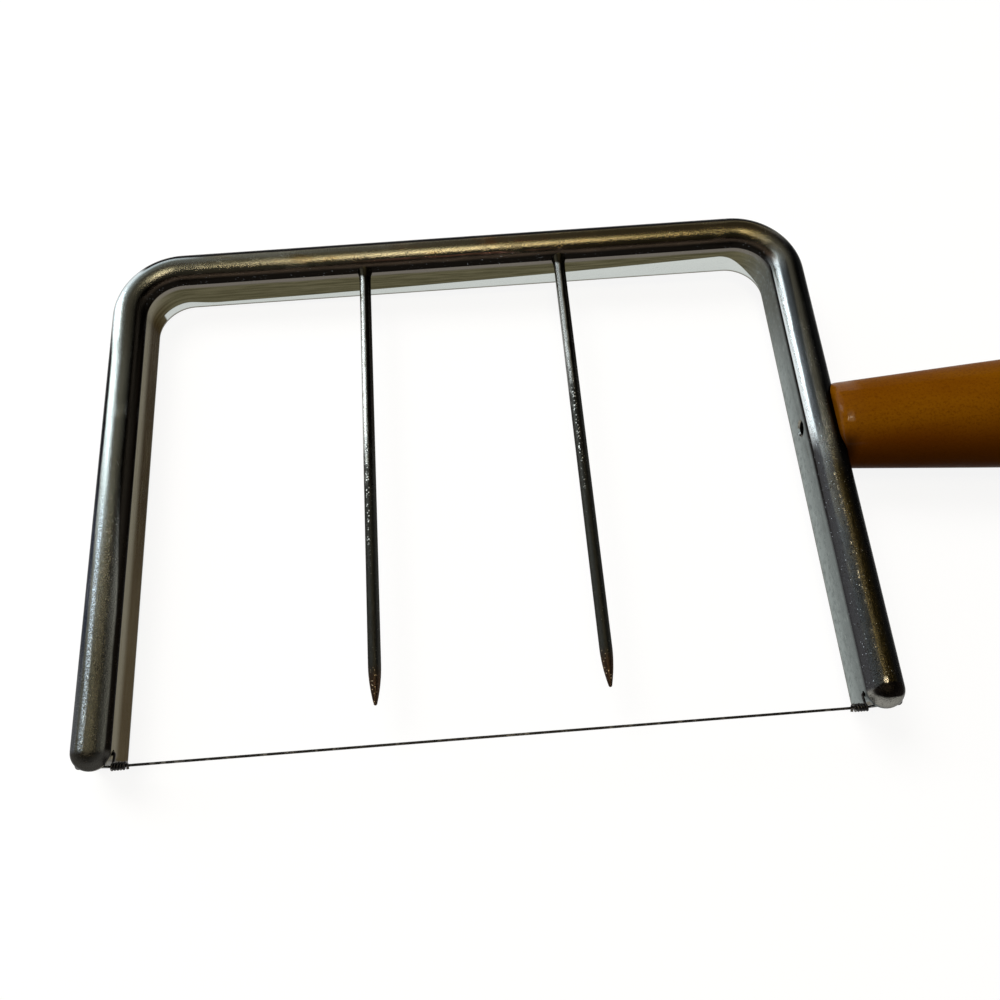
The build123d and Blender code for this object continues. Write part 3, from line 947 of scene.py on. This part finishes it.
def drawn_steel(name):
    """Dark drawn wire: nearly black, with a dull shine and lighter worn places."""
    material, p = new_material(name)
    wear_and_lit_strip = p.step(p.noise(p.place(), 1.1, 3.0), 0.5, 0.72)
    colour = p.mix(WIRE_DARK, WIRE_RUBBED, wear_and_lit_strip)
    grain = p.noise(p.place((0.1, 1, 1)), 0.06, 2.0)
    normal = p.bump(grain, 0.006 * MM, 0.5)
    p.principled(Base_Color=colour, Metallic=1.0, Roughness=0.3 + 0.2 * grain, Normal=normal)
    return material


# Colours of the handle's resin, with its painted shade
RESIN = (0.165, 0.05, 0.0007, 1)
RESIN_LIGHTER = (0.215, 0.076, 0.001, 1)
RESIN_MOTTLE = (0.085, 0.023, 0.0004, 1)
RESIN_UNDERSIDE_SHADE = (0.14, 0.034, 0.0006, 1)
RESIN_DIRT_AND_SHADE = (0.02, 0.008, 0.002, 1)


def cast_resin(name):
    """Butterscotch cast resin: a warm brown body with faint drifts of colour and fine mottling, small
    dark specks, a polished skin with fine rubbing round it, and painted shade on its lower side and, low
    down, beside the leg."""
    material, p = new_material(name)
    place = p.place()
    x, y, z = p.parts(place)
    from_leg = x - LEG_OUTER_X / MM
    above = (y - HANDLE_Y / MM) * 0.6 + z - HANDLE_Z / MM
    drift = p.noise(p.place((0.3, 1, 1)), 9.0, 3.0, 0.5, 0.6)
    fine = p.noise(place, 0.4, 4.0, 0.7)
    colour = p.mix(RESIN, RESIN_LIGHTER, p.step(drift, 0.3, 0.7))
    colour = p.mix(colour, RESIN_MOTTLE, p.step(fine, 0.45, 0.72) * 0.6)
    colour = p.mix(colour, RESIN_DIRT_AND_SHADE, p.specks(place, 1.6, 0.08) * 0.6)
    # Painted shade: the lower side of the handle darker and redder
    colour = p.mix(colour, RESIN_UNDERSIDE_SHADE, p.step(above, 5.5, 1.0) * 0.7)
    # Painted shade low down beside the leg, where the leg shades the handle
    low_down = p.step(above + p.noise(place, 1.2, 3.0) * 1.5, 5.5, 1.5)
    leg_shade = p.step(from_leg, 2.2, -0.2) * low_down
    colour = p.mix(colour, RESIN_DIRT_AND_SHADE, leg_shade * 0.8)
    rubbing = p.noise(p.place((1.0, 0.06, 0.06)), 0.1, 2.0)
    dull = p.step(p.noise(place, 4.0, 3.0), 0.4, 0.7)
    roughness = 0.26 + 0.1 * dull + 0.06 * rubbing + 0.25 * leg_shade
    waves = p.bump(p.noise(p.place((0.3, 1, 1)), 3.0, 2.0), 0.02 * MM, 0.3)
    normal = p.bump(rubbing * 0.4 + fine * 0.6, 0.008 * MM, 0.5, waves)
    rim = p.step(from_leg, 4.0, 1.5) * p.step(above, 0.5, 2.5)
    polished = p.step(above, 3.5, 6.5) * 0.03 + 0.25 * rim
    gloss = {"Coat_Weight": polished, "Coat_Roughness": 0.05, "IOR": 1.03}
    p.principled(Base_Color=colour, Roughness=roughness, Normal=normal, **gloss)
    return material


# Colours of the stud's end
STUD_STEEL = (0.24, 0.22, 0.19, 1)
STUD_OIL = (0.07, 0.055, 0.035, 1)


def dull_steel(name):
    """The end of the stud: dull steel with a film of old oil."""
    material, p = new_material(name)
    film = p.noise(p.place(), 0.6, 3.0)
    colour = p.mix(STUD_STEEL, STUD_OIL, p.step(film, 0.35, 0.6))
    p.principled(Base_Color=colour, Metallic=1.0, Roughness=0.3 + 0.3 * film)
    return material


def finish_piece(piece, material, node=None):
    """Gives a piece its material and, where it stands for a node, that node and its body."""
    piece.data.materials.clear()
    piece.data.materials.append(material)
    if node:
        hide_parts(node)
        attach(piece, "root")


# The floor's paper as light falls on it, and how white it is shown
PAPER = (0.15, 0.15, 0.151, 1)
PAPER_WHITE = (1, 1, 1, 1)
PAPER_GLOW = 0.89


def make_floor():
    """The floor: a wide plane, tilted to lie just below both the left leg's back and the handle's belly.
    The camera and mirrors see it pale, but it lights the object only as dark paper would."""
    contact_left = (bar_low.x, BACK_Z)
    contact_right = (HANDLE_START_X + HANDLE_BELLY_LENGTH, handle_low.z)
    slope = (contact_right[1] - contact_left[1]) / (contact_right[0] - contact_left[0])
    x = FLOOR_HALF * np.array([-1, 1, 1, -1])
    y = FLOOR_HALF * np.array([-1, -1, 1, 1])
    z = contact_left[1] + slope * (x - contact_left[0]) - FLOOR_GAP
    mesh = bpy.data.meshes.new("floor")
    mesh.from_pydata(np.stack([x, y, z], axis=-1).tolist(), [], [(0, 1, 2, 3)])
    floor = bpy.data.objects.new("floor", mesh)
    bpy.context.scene.collection.objects.link(floor)
    material, p = new_material("white_paper")
    paper = p.node("ShaderNodeBsdfDiffuse", inputs={"Color": PAPER})
    strength = p.shown() * PAPER_GLOW
    glow = p.node("ShaderNodeEmission", inputs={"Color": PAPER_WHITE, "Strength": strength})
    both = p.node("ShaderNodeAddShader", inputs={0: paper, 1: glow})
    p.node("ShaderNodeOutputMaterial", inputs={"Surface": both})
    mesh.materials.append(material)


def area_light(name, centre, size, power, colour):
    """A soft light from a rectangle that faces the middle of the left leg."""
    target = Vector((-60 * MM, -45 * MM, 0))
    data = bpy.data.lights.new(name, "AREA")
    data.shape = "RECTANGLE"
    data.size, data.size_y = size
    data.energy = power
    data.color = colour
    lamp = bpy.data.objects.new(name, data)
    lamp.location = centre
    lamp.rotation_mode = "QUATERNION"
    lamp.rotation_quaternion = (target - Vector(centre)).to_track_quat("-Z", "Y")
    bpy.context.scene.collection.objects.link(lamp)
    return lamp


# Colours of the lamps and of the room
DAYLIGHT = (0.9, 0.98, 1.0)
LAMPLIGHT = (1.0, 0.84, 0.58)
SOFT_WHITE = (1.0, 0.97, 0.92)
ROOM_DARK = (0.003, 0.0025, 0.002, 1)
ROOM_LIT = (0.17, 0.155, 0.12, 1)
WINDOW_GLOW = (0.6, 0.66, 0.68, 1)
CEILING_STRIP = (3.9, 3.5, 2.4, 1)
BACKDROP = (0.97, 0.97, 0.97, 1)


def make_lights():
    """A window at the back left, a long warm lamp overhead and a soft light for what isn't metal, in a
    dim room that is lighter at the back and on the left. The window has a glow round it, the ceiling a
    bright strip, and the camera and mirrors see a pale backdrop all round, low down."""
    window = area_light("window", (-0.26, 0.11, 0.122), (0.09, 0.26), 0.22, DAYLIGHT)
    window.visible_camera = False
    area_light("lamp", (0.01, -0.15, 0.62), (0.2, 0.06), 0.4, LAMPLIGHT)
    soft = area_light("soft_light", (-0.35, 0.4, 0.85), (0.5, 0.5), 6.6, SOFT_WHITE)
    soft.visible_glossy = False
    world = bpy.data.worlds.new("room")
    bpy.context.scene.world = world
    world.use_nodes = True
    p = Paint(world.node_tree)
    way = p.node("ShaderNodeTexCoord", output=0)
    x, y, z = p.parts(way)
    lit = (0.3 + 0.7 * p.step(y, -0.9, 0.2)) * (1 - 0.95 * p.step(x, 0.0, 0.8)) * p.step(z, -0.15, 0.1)
    colour = p.mix(ROOM_DARK, ROOM_LIT, lit)
    to_window = (-0.6, 0.65, 0.47)
    towards = p.node("ShaderNodeVectorMath", {"operation": "DOT_PRODUCT"}, {0: way, 1: to_window}, 1)
    colour = p.mix(colour, WINDOW_GLOW, p.step(towards, 0.84, 0.98))
    ceiling = p.band(y, -0.33, -0.24, -0.18, 0.3) * p.step(p.math("ABSOLUTE", x), 0.17, 0.07)
    colour = p.mix(colour, CEILING_STRIP, ceiling * p.step(z, 0.5, 0.7))
    colour = p.mix(colour, BACKDROP, p.shown() * p.step(z, 0.3, 0.24))
    shader = p.node("ShaderNodeBackground", inputs={"Color": colour, "Strength": 1.0})
    p.node("ShaderNodeOutputWorld", inputs={"Surface": shader})


def make_camera():
    """The camera at the photograph's place."""
    data = bpy.data.cameras.new("camera")
    data.sensor_width = SENSOR_WIDTH
    data.lens = SENSOR_WIDTH * FOCAL_SHARE
    data.clip_start = 0.01
    data.clip_end = 10
    camera = bpy.data.objects.new("camera", data)
    camera.location = CAMERA_PLACE
    camera.rotation_euler = Euler([math.radians(a) for a in CAMERA_TURN], "XYZ")
    bpy.context.scene.collection.objects.link(camera)
    bpy.context.scene.camera = camera


make_camera()
finish_piece(make_bow(), bow_chrome("old_chrome"), "frame")
pin_plate = pin_chrome("pin_chrome")
finish_piece(make_pin("pin_left", "tine_left"), pin_plate, "tine_left")
finish_piece(make_pin("pin_right", "tine_right"), pin_plate, "tine_right")
finish_piece(make_wire(), drawn_steel("dark_wire"), "cutting_wire")
finish_piece(make_grip(), cast_resin("butterscotch"), "handle")
finish_piece(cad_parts["handle_stud"], dull_steel("stud_end"))
make_floor()
make_lights()
bpy.context.scene.view_settings.view_transform = "Standard"
